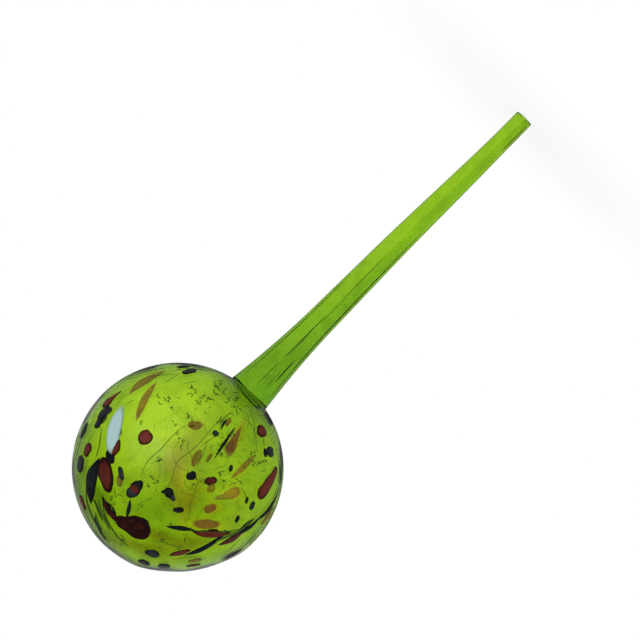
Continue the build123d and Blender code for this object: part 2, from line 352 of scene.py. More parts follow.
def glass_material():
    """Clear glass with a coloured skin. The tint attribute holds the colour of the skin, its stains, and its
    painted glow and shade; on the stem it holds painted shade along one side. The body of the glass takes a
    little more with its depth, and a slow bump gives the waves of the blowing. Where the veined attribute is
    up, the level lines of a swirled noise draw fine cords, and faint clouds make the skin uneven."""
    material = bpy.data.materials.new("green_glass")
    material.use_nodes = True
    tree = material.node_tree
    links = tree.links
    shader = tree.nodes["Principled BSDF"]
    shader.inputs["Transmission Weight"].default_value = 1.0
    shader.inputs["IOR"].default_value = 1.5
    shader.inputs["Roughness"].default_value = 0.0
    skin_tint = attribute_node(tree, "tint")
    veined = attribute_node(tree, "veined")
    place = tree.nodes.new("ShaderNodeTexCoord")
    swirl = noise_node(tree, place, scale=65.0, detail=0.6, distortion=1.4)
    folds = math_node(tree, "MULTIPLY", CORD_FOLDS)
    levels = math_node(tree, "PINGPONG", 0.5)
    lines = range_node(tree, low=0.40, high=0.50)
    cords = math_node(tree, "MULTIPLY")
    corded, plain, cord, skin = colour_mix(tree, "MULTIPLY")
    cord.default_value = (*CORD_KEPT, 1.0)
    chain(tree, swirl, folds, levels, lines, cords)
    links.new(veined.outputs["Fac"], cords.inputs[1])
    links.new(cords.outputs[0], corded)
    links.new(skin_tint.outputs["Color"], plain)
    clouds = noise_node(tree, place, scale=48.0, detail=2.5, distortion=1.8)
    cloudy = range_node(tree, low=0.30, high=0.70, to_low=0.88, to_high=1.15)
    veiled, unveiled, veil, veiled_skin = colour_mix(tree, "MULTIPLY")
    veiled.default_value = 1.0
    chain(tree, clouds, cloudy)
    links.new(cloudy.outputs["Result"], veil)
    links.new(skin, unveiled)
    links.new(veiled_skin, shader.inputs["Base Color"])
    wave = noise_node(tree, place, scale=90.0, detail=1.0)
    bump = tree.nodes.new("ShaderNodeBump")
    bump.inputs["Strength"].default_value = 0.07
    bump.inputs["Distance"].default_value = 0.0006
    links.new(wave.outputs["Fac"], bump.inputs["Height"])
    links.new(bump.outputs["Normal"], shader.inputs["Normal"])
    absorb = tree.nodes.new("ShaderNodeVolumeAbsorption")
    absorb.inputs["Color"].default_value = (*BODY_KEPT, 1.0)
    absorb.inputs["Density"].default_value = BODY_DENSITY
    links.new(absorb.outputs["Volume"], tree.nodes["Material Output"].inputs["Volume"])
    return material


green_glass = glass_material()
place_piece(bulb_mesh(), green_glass, "green_glass", "bulb")


# Stem: a tube drawn from the same glass, slender and straight at its cut end and flared to its foot,
# which is fused on to the bulb. It was drawn by hand, so it bows a little and its bore isn't quite central.
# Its green is deeper towards the foot, and painted shade darkens it along the side away from the side lamp.
STEM_TIP_RADIUS = 0.00405
STEM_TIP_LENGTH = 0.012
FLARE_LENGTH = 0.0455
FLARE_RADIUS = 0.0062
FOOT_RADIUS = 0.0097
TIP_BORE_RADIUS = 0.0030
FLARE_BORE_RADIUS = 0.0049
BORE_SHIFT = 0.0003
STEM_BOW = 0.0009
BOW_START = 0.015
BOW_END = 0.085
STEM_RINGS = 200
STEM_STEPS = 96
FOOT_RINGS = 8
SEAM = 0.00004
STEM_SKIN_KEPT = (0.345, 0.615, 0.03)
FOOT_SKIN_KEPT = (0.235, 0.475, 0.03)
DEEPER_FROM = 0.05
BORE_KEPT = (1.00, 1.00, 0.55)
# Painted shade: the bore's green is darker along the -X side, away from the side lamp.
SHADED_SIDE_KEPT = (0.78, 0.85, 0.75)
SHADED_SIDE_START = 0.03
SHADED_SIDE_BLUR = 0.06
STEM_LENGTH = BULB_CENTRE[2] - BULB_RADIUS


def height_on_bulb(radius):
    """Height of the bulb's underside at a distance from the axis, plus the seam, the thin layer of the
    bulb that the stem's foot melts into."""
    return BULB_CENTRE[2] - np.sqrt(BULB_RADIUS**2 - radius**2) + SEAM


def flared(height, tip, flare, foot):
    """Radius up the stem: straight at the tip, then an even taper to the flare, then a parabola, tangent
    to the taper, that reaches the foot's radius on the bulb."""
    flare_start = STEM_LENGTH - FLARE_LENGTH
    slope = (flare - tip) / (flare_start - STEM_TIP_LENGTH)
    tapered = tip + slope * np.clip(height - STEM_TIP_LENGTH, 0.0, None)
    top = height_on_bulb(foot)
    bend = (foot - tip - slope * (top - STEM_TIP_LENGTH)) / (top - flare_start) ** 2
    return tapered + bend * np.clip(height - flare_start, 0.0, None) ** 2


def stem_outside(height):
    """Outer radius of the stem at a height."""
    return flared(height, STEM_TIP_RADIUS, FLARE_RADIUS, FOOT_RADIUS)


def stem_bore(height):
    """Radius of the bore at a height."""
    return flared(height, TIP_BORE_RADIUS, FLARE_BORE_RADIUS, NECK_RADIUS)


def stem_bow(height):
    """How far the stem strays to one side: not at all at the cut end, and the full bow from half way."""
    return STEM_BOW * smooth_step(BOW_START, BOW_END, height)


def bore_shift(height):
    """How far the bore lies off the middle of the stem: most half way up, and not at all at its ends."""
    return BORE_SHIFT * np.sin(pi * np.clip(height / STEM_LENGTH, 0.0, 1.0))


def ring_on_bulb(radius, around):
    """Height on the bulb of a ring round the stem, whose middle the bow has moved off the axis."""
    return height_on_bulb(np.hypot(radius * np.cos(around) + STEM_BOW, radius * np.sin(around)))


def stem_mesh():
    """Rings up the outside from the cut end to the foot, over the foot along the bulb's round, and down
    the bore again. Each ring ends at its own height on the bulb, which the bow changes round the foot."""
    around = np.linspace(0.0, 2 * pi, STEM_STEPS, endpoint=False)[None, :]
    share = np.linspace(0.0, 1.0, STEM_RINGS)[:, None]
    foot = np.linspace(FOOT_RADIUS, NECK_RADIUS, FOOT_RINGS + 2)[1:-1, None] + 0.0 * around
    outer_height = share * ring_on_bulb(FOOT_RADIUS, around)
    inner_height = share[::-1] * ring_on_bulb(NECK_RADIUS, around)
    radius = np.concatenate((stem_outside(outer_height), foot, stem_bore(inner_height)))
    height = np.concatenate((outer_height, ring_on_bulb(foot, around), inner_height))
    plain = np.zeros((STEM_RINGS + FOOT_RINGS, STEM_STEPS))
    aside = stem_bow(height) + np.concatenate((plain, bore_shift(inner_height)))
    rings = np.stack((radius * np.cos(around) + aside, radius * np.sin(around), height), axis=-1)
    deeper = smooth_step(DEEPER_FROM, STEM_LENGTH, outer_height)[..., None]
    skin = np.array(STEM_SKIN_KEPT) * (1.0 - deeper) + np.array(FOOT_SKIN_KEPT) * deeper
    clear = np.ones((FOOT_RINGS, STEM_STEPS, 3))
    # Painted shade along the -X side of the bore.
    shaded_side = smooth_step(-SHADED_SIDE_BLUR, SHADED_SIDE_BLUR, -np.cos(around) - SHADED_SIDE_START)
    bore = stained_and_shaded(np.array(BORE_KEPT), shaded_side, SHADED_SIDE_KEPT) + np.zeros((STEM_RINGS, STEM_STEPS, 3))
    tint = np.concatenate((skin, clear, bore)).reshape(-1, 3)
    return joined_mesh("stem_glass", [(rings, None)], [("tint", tint)])


place_piece(stem_mesh(), green_glass, "green_glass", "stem")


# Chips: crumbs of coloured glass that the hot bubble was rolled over, so that they melted on to it as
# low domes. Round and oval ones come first, then drops, then trails that the blowing drew out. Each row:
# across and up on the show side as shares of the radius, sizes in millimetres, turn, and BACK if behind.
FRONT = 1
BACK = -1
MILLIMETRE = 0.001
CHIP_SINK = 0.00034
CHIP_RINGS = 30
CHIP_STEPS = 22
CHIP_PHASE = 1.7
TONE_STEP = 2.4
EDGE_WAVE = 0.10
EDGE_RIPPLE = 0.06
LEFT_WAVES = (5.0, 13.0)
RIGHT_WAVES = (6.0, 11.0)

chip_share = (0.5 - 0.5 * np.cos(np.linspace(0.0, pi, CHIP_RINGS + 2)))[:, None]
chip_around = np.linspace(0.0, 2 * pi, CHIP_STEPS, endpoint=False)[None, :]
chip_reach = 2.0 * chip_share - 1.0


def oval_outline(length, width):
    """Half width along an oval: an ellipse. Its middle line is straight."""
    return 0.5 * width * np.sqrt(1.0 - chip_reach**2), 0.0 * chip_share


def drop_outline(length, width, tail):
    """Half width along a drop: a round head, then an even narrowing to a small round tail end."""
    head_end = 0.5 * width / length
    tail_start = 1.0 - 0.5 * tail / length
    body = 0.5 * width + 0.5 * (tail - width) * smooth_step(head_end, tail_start, chip_share)
    head = np.sqrt(1.0 - np.clip(1.0 - chip_share / head_end, 0.0, 1.0) ** 2)
    end = np.sqrt(1.0 - np.clip((chip_share - tail_start) / (1.0 - tail_start), 0.0, 1.0) ** 2)
    return body * head * end, 0.0 * chip_share


def trail_outline(length, width, bow):
    """Half width along a trail, pointed at both ends: a parabola. Its middle line is one too."""
    arch = 1.0 - chip_reach**2
    return 0.5 * width * arch, bow * arch


def on_bulb(across, up, side=FRONT):
    """Direction from the bulb's middle to a place on the show side or, behind it, on the far side."""
    across = np.asarray(across, float)
    up = np.asarray(up, float)
    toward = side * np.sqrt(np.maximum(1.0 - across**2 - up**2, 0.0))
    return np.stack((across, up, toward), axis=-1) @ np.stack((SHOW_RIGHT, SHOW_UP, SHOW_TOWARD))


def uneven_edge(waves, ripples, wave_phase, ripple_phase):
    """Waves and finer ripples along one edge of a chip, as shares of its half width."""
    wave = EDGE_WAVE * np.sin(waves * chip_share + wave_phase)
    return wave + EDGE_RIPPLE * np.sin(ripples * chip_share + ripple_phase)


def chip_dome(length, outline, rise, phase, across, up, turn, side=FRONT):
    """A low dome on the bulb. Its outline lies on the plane that touches the bulb at its place, with its
    length at the turn as the show side sees it, and is wrapped on to the round. Two waves along each
    edge make it uneven, and around the ring its height goes from the rise to the sink. The edge value
    goes from 0 in its middle to 1 on its outline."""
    outward = on_bulb(across, up, side)
    slant = -(across * cos(radians(turn)) + up * sin(radians(turn))) / (outward @ SHOW_TOWARD)
    along = SHOW_RIGHT * cos(radians(turn)) + SHOW_UP * sin(radians(turn)) + SHOW_TOWARD * slant
    along = along / np.linalg.norm(along)
    beside = np.cross(outward, along)
    half_width, middle = outline
    left = uneven_edge(*LEFT_WAVES, phase, 2.0 * phase)
    right = uneven_edge(*RIGHT_WAVES, 3.0 * phase, 5.0 * phase)
    bias = 0.5 + 0.5 * np.cos(chip_around)
    x = length * (chip_share - 0.5) + 0.0 * chip_around
    y = middle + half_width * (1.0 + left * bias + right * (1.0 - bias)) * np.cos(chip_around)
    fullness = np.sqrt(half_width / half_width.max())
    lift = np.where(np.sin(chip_around) > 0, rise, CHIP_SINK) * np.sin(chip_around) * fullness
    ground = outward * np.sqrt(BULB_RADIUS**2 - x**2 - y**2)[..., None] + x[..., None] * along
    ground = (ground + y[..., None] * beside) / BULB_RADIUS
    points = BULB_CENTRE + ground * (BULB_RADIUS + lift)[..., None]
    edge = np.sqrt(chip_reach**2 + np.cos(chip_around) ** 2 * (1.0 - chip_reach**2))
    return points, edge


def mixed_tones(count):
    """Tones for a row of chips: half a sine, stepped round by an odd angle from one chip to the next."""
    return 0.5 + 0.5 * np.sin(TONE_STEP * np.arange(count))


def chips_mesh(name, rise, ovals=(), drops=(), trails=(), tones=()):
    """All chips of one colour in one mesh, a closed dome for each row, with its edge values and its tone,
    which goes from 0, dark, to 1, light."""
    rows = [(row[:2] + row[4:], row[2:4], oval_outline) for row in ovals]
    rows += [(row[:2] + row[5:], row[2:5], drop_outline) for row in drops]
    rows += [(row[:2] + row[5:], row[2:5], trail_outline) for row in trails]
    grids, edges = [], []
    for number, (seat, sizes, shape) in enumerate(rows):
        sizes = [size * MILLIMETRE for size in sizes]
        rings, edge = chip_dome(sizes[0], shape(*sizes), rise * MILLIMETRE, CHIP_PHASE * number, *seat)
        grids.append((rings[1:-1], rings[[0, -1], 0]))
        edges += [edge[1:-1].ravel(), np.ones(2)]
    tone = np.repeat(tones or mixed_tones(len(rows)), CHIP_RINGS * CHIP_STEPS + 2)
    return joined_mesh(name, grids, [("edge", np.concatenate(edges)), ("tone", tone)])


def melted_colour_group():
    """Colour of a melted chip: from deep to light by its tone and a fine mottle, and deep again near its
    rim, a painted dark outline that stands in for the shade at the dome's edge. Cover falls from 1 to 0 over
    the soft share of the chip at its rim, where it thins out."""
    group = bpy.data.node_groups.new("melted_colour", "ShaderNodeTree")
    for name, kind in (("Deep", "Color"), ("Light", "Color"), ("Mottle", "Float"), ("Soft", "Float")):
        group.interface.new_socket(name, in_out="INPUT", socket_type="NodeSocket" + kind)
    for name, kind in (("Colour", "Color"), ("Cover", "Float")):
        group.interface.new_socket(name, in_out="OUTPUT", socket_type="NodeSocket" + kind)
    links = group.links
    given = group.nodes.new("NodeGroupInput")
    result = group.nodes.new("NodeGroupOutput")
    tone = attribute_node(group, "tone")
    edge = attribute_node(group, "edge")
    noise = noise_node(group, group.nodes.new("ShaderNodeTexCoord"), scale=420.0, detail=3.0)
    centred = math_node(group, "SUBTRACT", 0.5)
    mottled = math_node(group, "MULTIPLY")
    toned = math_node(group, "ADD")
    # Painted shade: the colour turns deep again near the rim.
    rim = range_node(group, low=0.60, high=1.00)
    inner = math_node(group, "SUBTRACT")
    inner.use_clamp = True
    factor, deep, light, mixed = colour_mix(group, "MIX")
    chain(group, noise, centred, mottled, toned, inner)
    links.new(given.outputs["Mottle"], mottled.inputs[1])
    links.new(tone.outputs["Fac"], toned.inputs[1])
    links.new(edge.outputs["Fac"], rim.inputs["Value"])
    links.new(rim.outputs["Result"], inner.inputs[1])
    links.new(inner.outputs[0], factor)
    links.new(given.outputs["Deep"], deep)
    links.new(given.outputs["Light"], light)
    links.new(mixed, result.inputs["Colour"])
    inset = math_node(group, "SUBTRACT")
    inset.inputs[0].default_value = 1.0
    cover = range_node(group, low=0.0, high=1.0, to_low=1.0, to_high=0.0)
    cover.interpolation_type = "SMOOTHSTEP"
    links.new(given.outputs["Soft"], inset.inputs[1])
    links.new(edge.outputs["Fac"], cover.inputs["Value"])
    links.new(inset.outputs[0], cover.inputs["From Min"])
    links.new(cover.outputs["Result"], result.inputs["Cover"])
    return group


melted_colour = melted_colour_group()


def chip_material(name, deep, light, mottle, soft, clear=False):
    """Glossy melted glass, coloured by the melted colour group, that thins out at its rim. A clear one
    tints what lies behind it."""
    material = bpy.data.materials.new(name)
    material.use_nodes = True
    nodes = material.node_tree.nodes
    links = material.node_tree.links
    shader = nodes["Principled BSDF"]
    colour = nodes.new("ShaderNodeGroup")
    colour.node_tree = melted_colour
    colour.inputs["Deep"].default_value = (*deep, 1.0)
    colour.inputs["Light"].default_value = (*light, 1.0)
    colour.inputs["Mottle"].default_value = mottle
    colour.inputs["Soft"].default_value = soft
    links.new(colour.outputs["Colour"], shader.inputs["Base Color"])
    links.new(colour.outputs["Cover"], shader.inputs["Alpha"])
    shader.inputs["Roughness"].default_value = 0.02 if clear else 0.12
    shader.inputs["IOR"].default_value = 1.12 if clear else 1.5
    shader.inputs["Specular IOR Level"].default_value = 0.5 if clear else 0.2
    shader.inputs["Transmission Weight"].default_value = 1.0 if clear else 0.0
    return material


# Black chips and trails: crumbs of black glass, the most common ones, melted on to the bulb. The blowing
# drew some of them out. They let no light through, and the far ones show through the green as shadows.
BLACK_OVALS = [
    (-0.384, -0.172, 7.6, 4.8, 45),
    (-0.418, -0.210, 7.6, 5.0, 45),
    (-0.630, 0.112, 7.0, 4.4, 112),
    (-0.528, -0.046, 6.4, 2.6, 104),
    (-0.695, 0.519, 8.0, 6.6, 50),
    (-0.746, 0.423, 5.0, 5.0, 60),
    (-0.640, 0.536, 3.6, 2.4, 50),
    (-0.884, 0.358, 7.8, 5.8, 67),
    (-0.917, 0.042, 7.6, 8.0, 87),
    (0.109, 0.913, 8.2, 4.5, 18),
    (0.050, 0.958, 6.0, 3.6, 3),
    (0.353, 0.327, 3.0, 2.9, 0),
    (0.126, -0.066, 4.7, 3.7, 35),
    (0.006, -0.386, 4.8, 2.7, 0),
    (0.869, 0.157, 4.8, 6.6, 98),
    (0.820, 0.148, 4.0, 2.6, 98),
    (0.866, 0.472, 6.4, 6.0, 119),
    (0.495, 0.002, 3.2, 1.9, 75),
    (-0.084, -0.224, 4.8, 3.8, 120),
    (-0.046, -0.274, 3.2, 2.2, 115),
    (-0.126, -0.214, 2.6, 1.7, 10),
    (0.645, -0.297, 3.2, 1.9, 75),
    (0.698, -0.350, 4.2, 2.8, 62),
    (0.556, -0.473, 3.6, 2.2, 70),
    (-0.240, -0.796, 6.6, 5.8, -10),
    (-0.318, -0.884, 5.6, 6.4, -18),
    (-0.127, -0.922, 5.6, 6.4, -14),
    (-0.600, 0.340, 6.0, 4.4, 60, BACK),
    (-0.700, -0.160, 7.0, 4.6, 80, BACK),
    (-0.255, -0.847, 5.0, 3.8, -15, BACK),
    (0.440, -0.655, 5.6, 2.6, 24, BACK),
    (0.917, 0.166, 4.4, 3.4, 60, BACK),
    (-0.480, -0.560, 4.2, 3.4, 0, BACK),
    (0.115, 0.965, 4.6, 4.0, 15, BACK),
    (-0.690, 0.560, 5.0, 3.2, 50, BACK),
]
BLACK_TRAILS = [
    (-0.794, -0.122, 22.5, 7.6, 1.2, 79),
    (0.450, 0.243, 19.5, 1.3, 0.5, 56),
    (0.432, 0.410, 6.8, 1.2, 0.4, 61),
    (0.640, -0.548, 19.0, 2.8, -1.6, 32),
    (0.862, -0.335, 21.0, 3.2, -2.6, 54),
    (0.251, -0.728, 20.0, 3.4, -0.8, 28),
    (0.024, -0.564, 13.2, 2.3, 0.4, -8),
    (0.522, -0.811, 12.0, 4.4, -1.0, 34),
    (-0.465, -0.378, 9.8, 1.9, -0.4, 79),
    (-0.730, -0.560, 15.0, 4.0, 1.0, 111),
    (-0.800, -0.420, 14.0, 2.4, 2.2, 110, BACK),
    (0.105, -0.925, 13.0, 2.2, -2.0, 8, BACK),
    (0.684, -0.585, 13.0, 1.8, -1.6, 34, BACK),
]
BLACK_TRAIL_TONES = [0.20] * len(BLACK_TRAILS)
BLACK_RISE = 0.30
BLACK_DEEP = (0.005, 0.007, 0.008)
BLACK_LIGHT = (0.024, 0.031, 0.032)
black_glass = chip_material("black_glass", BLACK_DEEP, BLACK_LIGHT, mottle=1.4, soft=0.10)
black_domes = chips_mesh("black_chip_domes", BLACK_RISE, BLACK_OVALS)
place_piece(black_domes, black_glass, "black_glass", "black_chips")
black_lines = chips_mesh("black_drawn_trails", BLACK_RISE, trails=BLACK_TRAILS, tones=BLACK_TRAIL_TONES)
place_piece(black_lines, black_glass, "black_glass", "black_trails")

# Red chips and trails: crumbs of dark red glass, melted on as the black ones were. The rolling smeared
# some into drops, and the blowing drew others out.
RED_OVALS = [
    (-0.301, 0.290, 6.8, 6.7, 0),
    (-0.578, 0.192, 8.0, 4.2, 68),
    (-0.677, -0.060, 15.8, 8.6, 101),
    (-0.845, 0.175, 6.4, 5.8, 68),
    (0.788, 0.352, 5.6, 8.2, 114),
    (0.308, -0.114, 5.8, 3.6, 5),
    (-0.400, -0.190, 5.0, 5.2, 45),
    (0.023, -0.789, 9.8, 3.0, 15),
    (0.150, -0.923, 6.6, 4.4, 9),
    (-0.897, -0.320, 7.0, 6.0, 110),
    (-0.672, 0.118, 5.0, 3.6, 110, BACK),
    (0.330, -0.640, 6.0, 3.0, 10, BACK),
    (0.738, -0.371, 4.2, 2.6, 62, BACK),
    (-0.340, -0.540, 5.4, 4.2, 160, BACK),
    (-0.740, 0.480, 5.6, 4.2, 50, BACK),
]
RED_DROPS = [
    (-0.425, -0.540, 16.8, 12.6, 8.6, 164),
    (-0.622, 0.655, 10.8, 5.8, 1.2, 40),
    (0.858, -0.132, 19.0, 7.4, 4.0, 56),
    (-0.088, -0.246, 4.8, 3.0, 1.4, 120, BACK),
]
RED_TRAILS = [
    (0.325, -0.605, 19.0, 4.0, -0.5, -2),
    (0.515, -0.645, 14.5, 3.8, -0.8, 31),
    (-0.612, -0.400, 17.0, 3.6, 1.6, 125),
    (-0.660, -0.430, 11.0, 1.8, 1.6, 125, BACK),
]
RED_OVAL_TONES = [0.85, 0.55, 0.45, 0.60, 0.75, 0.50, 0.55, 0.80, 0.60, 0.60, 0.50, 0.50, 0.50, 0.50, 0.50]
RED_DROP_TONES = [0.04, 0.70, 1.00, 0.50]
RED_TRAIL_TONES = [0.75, 0.60, 0.15, 0.50]
RED_RISE = 0.34
RED_DEEP = (0.016, 0.005, 0.005)
RED_LIGHT = (0.160, 0.028, 0.016)
red_glass = chip_material("red_glass", RED_DEEP, RED_LIGHT, mottle=0.8, soft=0.10)
red_tones = RED_OVAL_TONES + RED_DROP_TONES
red_domes = chips_mesh("red_chip_domes", RED_RISE, RED_OVALS, RED_DROPS, tones=red_tones)
place_piece(red_domes, red_glass, "red_glass", "red_chips")
red_lines = chips_mesh("red_drawn_trails", RED_RISE, trails=RED_TRAILS, tones=RED_TRAIL_TONES)
place_piece(red_lines, red_glass, "red_glass", "red_trails")

# Amber chips and trails: crumbs of clear amber glass, melted on as the others were but thinner, so that
# the green behind them shows through.
AMBER_OVALS = [
    (-0.540, -0.110, 6.4, 3.4, 86),
    (0.162, 0.405, 7.2, 4.6, 0),
    (0.165, -0.865, 7.0, 4.0, 8),
    (0.472, 0.435, 6.0, 2.4, 60),
    (0.271, -0.521, 13.2, 5.4, -3),
    (0.302, -0.372, 6.4, 4.6, 15),
    (0.182, 0.110, 9.6, 3.8, 75, BACK),
    (0.296, 0.108, 6.2, 2.0, 62, BACK),
    (0.318, -0.196, 5.0, 4.0, 70, BACK),
    (0.540, 0.230, 6.0, 3.4, 63, BACK),
]
AMBER_DROPS = [
    (0.470, -0.245, 13.4, 5.6, 2.4, 197),
    (0.533, 0.268, 17.5, 5.2, 1.0, 63),
]
AMBER_TRAILS = [
    (-0.300, 0.645, 24.0, 4.2, 0.4, 63),
    (-0.292, 0.820, 22.0, 6.0, 1.2, 33),
    (0.622, 0.016, 19.0, 3.0, 0.3, 44),
    (0.844, -0.439, 12.0, 5.0, -1.5, 54),
    (-0.730, 0.550, 8.0, 2.2, 0.6, 50, BACK),
]
AMBER_OVAL_TONES = [0.40, 0.15, 0.35, 0.25, 0.25, 0.20, 0.40, 0.25, 0.60, 1.10]
AMBER_DROP_TONES = [0.90, 0.20]
AMBER_TRAIL_TONES = [0.35, 0.40, 0.60, 0.40, 0.50]
AMBER_RISE = 0.26
AMBER_DEEP = (0.48, 0.20, 0.30)
AMBER_LIGHT = (0.80, 0.50, 0.35)
amber_glass = chip_material("amber_glass", AMBER_DEEP, AMBER_LIGHT, mottle=0.8, soft=0.30, clear=True)
amber_tones = AMBER_OVAL_TONES + AMBER_DROP_TONES
amber_domes = chips_mesh("amber_chip_domes", AMBER_RISE, AMBER_OVALS, AMBER_DROPS, tones=amber_tones)
place_piece(amber_domes, amber_glass, "amber_glass", "amber_chips")
amber_lines = chips_mesh("amber_drawn_trails", AMBER_RISE, trails=AMBER_TRAILS, tones=AMBER_TRAIL_TONES)
place_piece(amber_lines, amber_glass, "amber_glass", "amber_trails")

# Pale spindle: a painted reflection of a window, made as one large chip of milky opal glass drawn to a
# spindle, whose rim is soft.
PALE_REFLECTION_OVALS = [
    (-0.590, 0.367, 24.5, 8.2, 78),
]
PALE_REFLECTION_TONES = [0.95]
PALE_REFLECTION_RISE = 0.38
PALE_REFLECTION_DEEP = (0.30, 0.48, 0.40)
PALE_REFLECTION_LIGHT = (0.38, 0.55, 0.56)
pale_glass = chip_material("pale_glass", PALE_REFLECTION_DEEP, PALE_REFLECTION_LIGHT, mottle=0.3, soft=0.35)
reflection_domes = chips_mesh("painted_reflection_domes", PALE_REFLECTION_RISE, PALE_REFLECTION_OVALS, tones=PALE_REFLECTION_TONES)
place_piece(reflection_domes, pale_glass, "pale_glass", "pale_chips")


# Wisps: hair-thin threads of dark glass, drawn out over the bulb as it grew, and clusters of tiny
# bubbles and crumbs. They lie half sunk in the outside of the bulb. Each row: width in millimetres, then
# places across and up on the show side.
WISP_STEPS = 8
WISP_PER_POINT = 8
WISP_HEIGHT = 0.8
THREAD_END = 0.004
THREAD_POINT = 0.01
WISPS = [
    (0.34, [(-0.344, -0.097), (-0.319, -0.006), (-0.276, 0.071), (-0.223, 0.124), (-0.160, 0.178),
            (-0.088, 0.262), (-0.001, 0.351), (0.081, 0.403)]),
    (0.30, [(-0.142, -0.194), (-0.078, -0.146), (-0.045, -0.064), (0.003, 0.071), (0.104, 0.149),
            (0.201, 0.236), (0.283, 0.334), (0.370, 0.435), (0.497, 0.529)]),
    (0.60, [(-0.712, 0.386), (-0.721, 0.301), (-0.730, 0.229), (-0.748, 0.157), (-0.767, 0.096)]),
    (0.45, [(-0.772, 0.363), (-0.840, 0.247), (-0.892, 0.117), (-0.905, -0.020)]),
    (0.40, [(-0.934, 0.345), (-0.958, 0.270), (-0.975, 0.205)]),
    (0.36, [(-0.428, 0.760), (-0.298, 0.846), (-0.153, 0.876), (-0.009, 0.880)]),
    (0.26, [(-0.502, 0.590), (-0.450, 0.622), (-0.393, 0.650)]),
    (0.30, [(-0.119, 0.799), (-0.060, 0.842), (0.019, 0.892)]),
    (0.22, [(0.020, 0.783), (0.100, 0.800), (0.170, 0.815), (0.215, 0.770)]),
    (0.36, [(-0.257, -0.667), (-0.127, -0.692), (0.020, -0.736), (0.160, -0.730)]),
    (0.30, [(0.410, -0.840), (0.504, -0.740), (0.598, -0.650)]),
    (0.34, [(0.092, -0.497), (0.110, -0.420), (0.117, -0.334), (0.160, -0.230), (0.170, -0.130)]),
    (0.28, [(0.231, 0.222), (0.290, 0.262), (0.361, 0.303)]),
    (0.26, [(0.280, 0.262), (0.236, 0.140), (0.180, 0.020)]),
    (0.34, [(0.584, 0.493), (0.680, 0.420), (0.728, 0.300), (0.735, 0.180)]),
    (0.34, [(0.497, 0.529), (0.450, 0.480), (0.400, 0.430), (0.392, 0.360)]),
    (0.28, [(0.640, 0.360), (0.665, 0.450), (0.640, 0.520), (0.580, 0.530)]),
    (0.28, [(0.700, 0.220), (0.720, 0.340), (0.710, 0.450), (0.660, 0.560)]),
    (0.45, [(0.797, 0.290), (0.806, 0.245), (0.808, 0.200)]),
    (0.40, [(0.598, -0.180), (0.628, -0.235), (0.645, -0.285)]),
    (1.20, [(-0.860, -0.160), (-0.850, -0.300), (-0.800, -0.450), (-0.720, -0.590), (-0.640, -0.700)]),
    (1.50, [(-0.748, -0.284), (-0.718, -0.392), (-0.670, -0.500), (-0.634, -0.579)]),
    (1.10, [(-0.773, -0.404), (-0.748, -0.494), (-0.706, -0.579)]),
    (0.90, [(-0.700, -0.280), (-0.690, -0.400), (-0.640, -0.520), (-0.560, -0.640), (-0.450, -0.740)]),
    (1.50, [(0.340, -0.684), (0.440, -0.644), (0.540, -0.598), (0.620, -0.552)]),
    (0.80, [(0.090, -0.572), (0.220, -0.586), (0.360, -0.594), (0.480, -0.588), (0.580, -0.566)]),
]
# Clusters: across, up, spread in millimetres, number of squiggles and of crumbs.
CLUSTERS = [
    (-0.080, 0.632, 1.8, 5),
    (0.190, 0.690, 2.6, 8),
    (0.250, 0.620, 2.4, 6),
    (0.445, 0.745, 2.6, 8),
    (0.530, 0.690, 2.4, 7),
    (0.560, 0.585, 2.2, 5),
    (0.400, 0.800, 2.0, 4),
    (0.100, 0.514, 0.7, 2),
    (-0.035, 0.398, 1.4, 2),
    (-0.190, -0.115, 1.8, 5),
    (0.075, 0.240, 1.4, 3),
    (-0.175, 0.082, 0.9, 2),
    (-0.355, -0.335, 1.2, 3),
    (-0.610, -0.290, 1.6, 5),
    (0.055, -0.665, 2.2, 6),
    (0.190, -0.105, 1.2, 4),
    (0.393, -0.055, 0.3, 2),
    (0.735, 0.060, 2.2, 6),
    (0.690, 0.130, 1.6, 3),
    (-0.550, -0.660, 1.6, 4),
    (-0.150, -0.650, 1.4, 3),
    (0.140, 0.408, 0.5, 2),
    (0.400, 0.150, 0.7, 4),
    (0.450, 0.240, 0.7, 4),
    (0.505, 0.335, 0.7, 3),
    (0.410, 0.425, 0.7, 3),
    (-0.340, 0.420, 0.2, 1),
    (-0.175, 0.668, 0.2, 1),
    (0.450, -0.135, 1.2, 2),
    (0.545, -0.130, 1.0, 2),
]
# Rim wisps: width in millimetres, then the angle round the show axis in degrees and the height towards
# the eye as a share of the radius, at the start and at the end.
RIM_POINTS = 36
RIM_BOW = 0.06
RIM_HEIGHT = 0.25
RIM_WISPS = [
    (1.0, (96, 0.30), (124, 0.14)),
    (0.7, (110, 0.12), (138, -0.04)),
    (0.9, (128, -0.12), (150, -0.26)),
    (1.2, (158, 0.24), (186, 0.06)),
    (0.8, (170, -0.06), (196, -0.24)),
    (1.3, (198, 0.28), (228, 0.08)),
    (0.9, (212, 0.04), (240, -0.16)),
    (1.0, (236, 0.24), (262, 0.08)),
    (0.8, (266, -0.04), (292, -0.22)),
    (1.2, (294, 0.12), (324, 0.30)),
    (0.9, (318, -0.08), (342, 0.10)),
    (1.1, (344, 0.06), (372, 0.24)),
    (0.8, (2, -0.08), (22, -0.28)),
    (0.7, (66, 0.10), (88, 0.24)),
    (0.6, (72, -0.16), (100, -0.30)),
]
# Squiggles and crumbs: lengths and widths in millimetres, angles in radians.
CURL_STEPS = 5
CURL_STEP = (0.3, 0.8)
CURL_TURN = 1.3
CURL_WANDER = 0.3
CURL_WIDTH = (0.26, 0.50)
CRUMB_LENGTH = 0.4
CRUMB_WIDTH = (0.40, 0.90)
MILLIMETRE_SHARE = MILLIMETRE / BULB_RADIUS
rng = np.random.default_rng(7)


